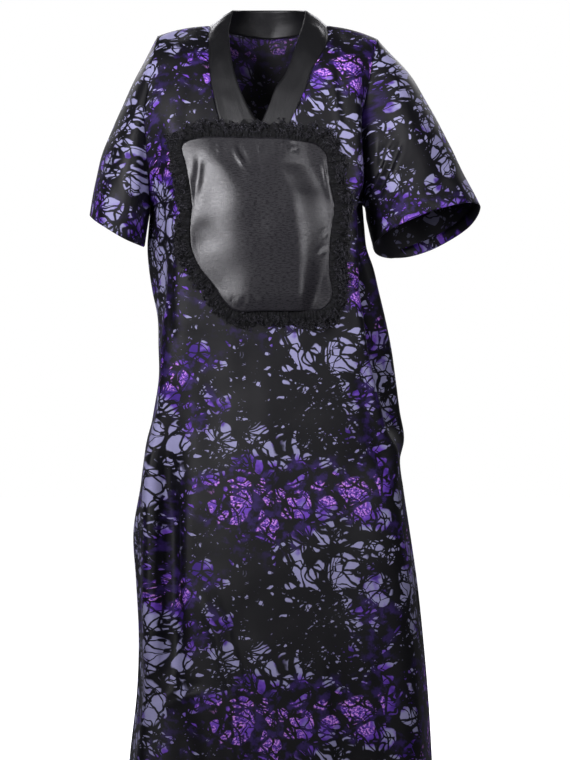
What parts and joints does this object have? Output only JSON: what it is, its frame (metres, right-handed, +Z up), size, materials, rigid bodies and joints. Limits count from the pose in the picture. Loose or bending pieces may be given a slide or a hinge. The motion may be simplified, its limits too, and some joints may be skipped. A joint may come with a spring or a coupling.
{
  "type": "kaftan",
  "caption": "Long V-neck kaftan with wide elbow-length sleeves, a plain satin neckband and a satin chest panel framed by a frayed ruffle trim, over boldly printed dark cloth.",
  "frame": {"origin": "on the wearer's shoulders: midway between them, at the height where the neckband meets the shoulder seams", "axes": "+Z up, front of the garment facing -Y, +X towards the wearer's left sleeve (the viewer's right)"},
  "size_m": [0.6489, 0.277, 1.4171],
  "materials": {
    "print": "black satin crepe with a lavender and purple print",
    "band_satin": "plain black satin",
    "panel_satin": "charcoal slub satin with a silvery sheen",
    "trim": "black gathered strip with frayed edges"
  },
  "bodies": {
    "root": {"front": "print", "back": "print", "sleeve_left": "print", "sleeve_right": "print", "neckband": "band_satin", "chest_panel": "panel_satin", "panel_trim": "trim"}
  },
  "joints": []
}
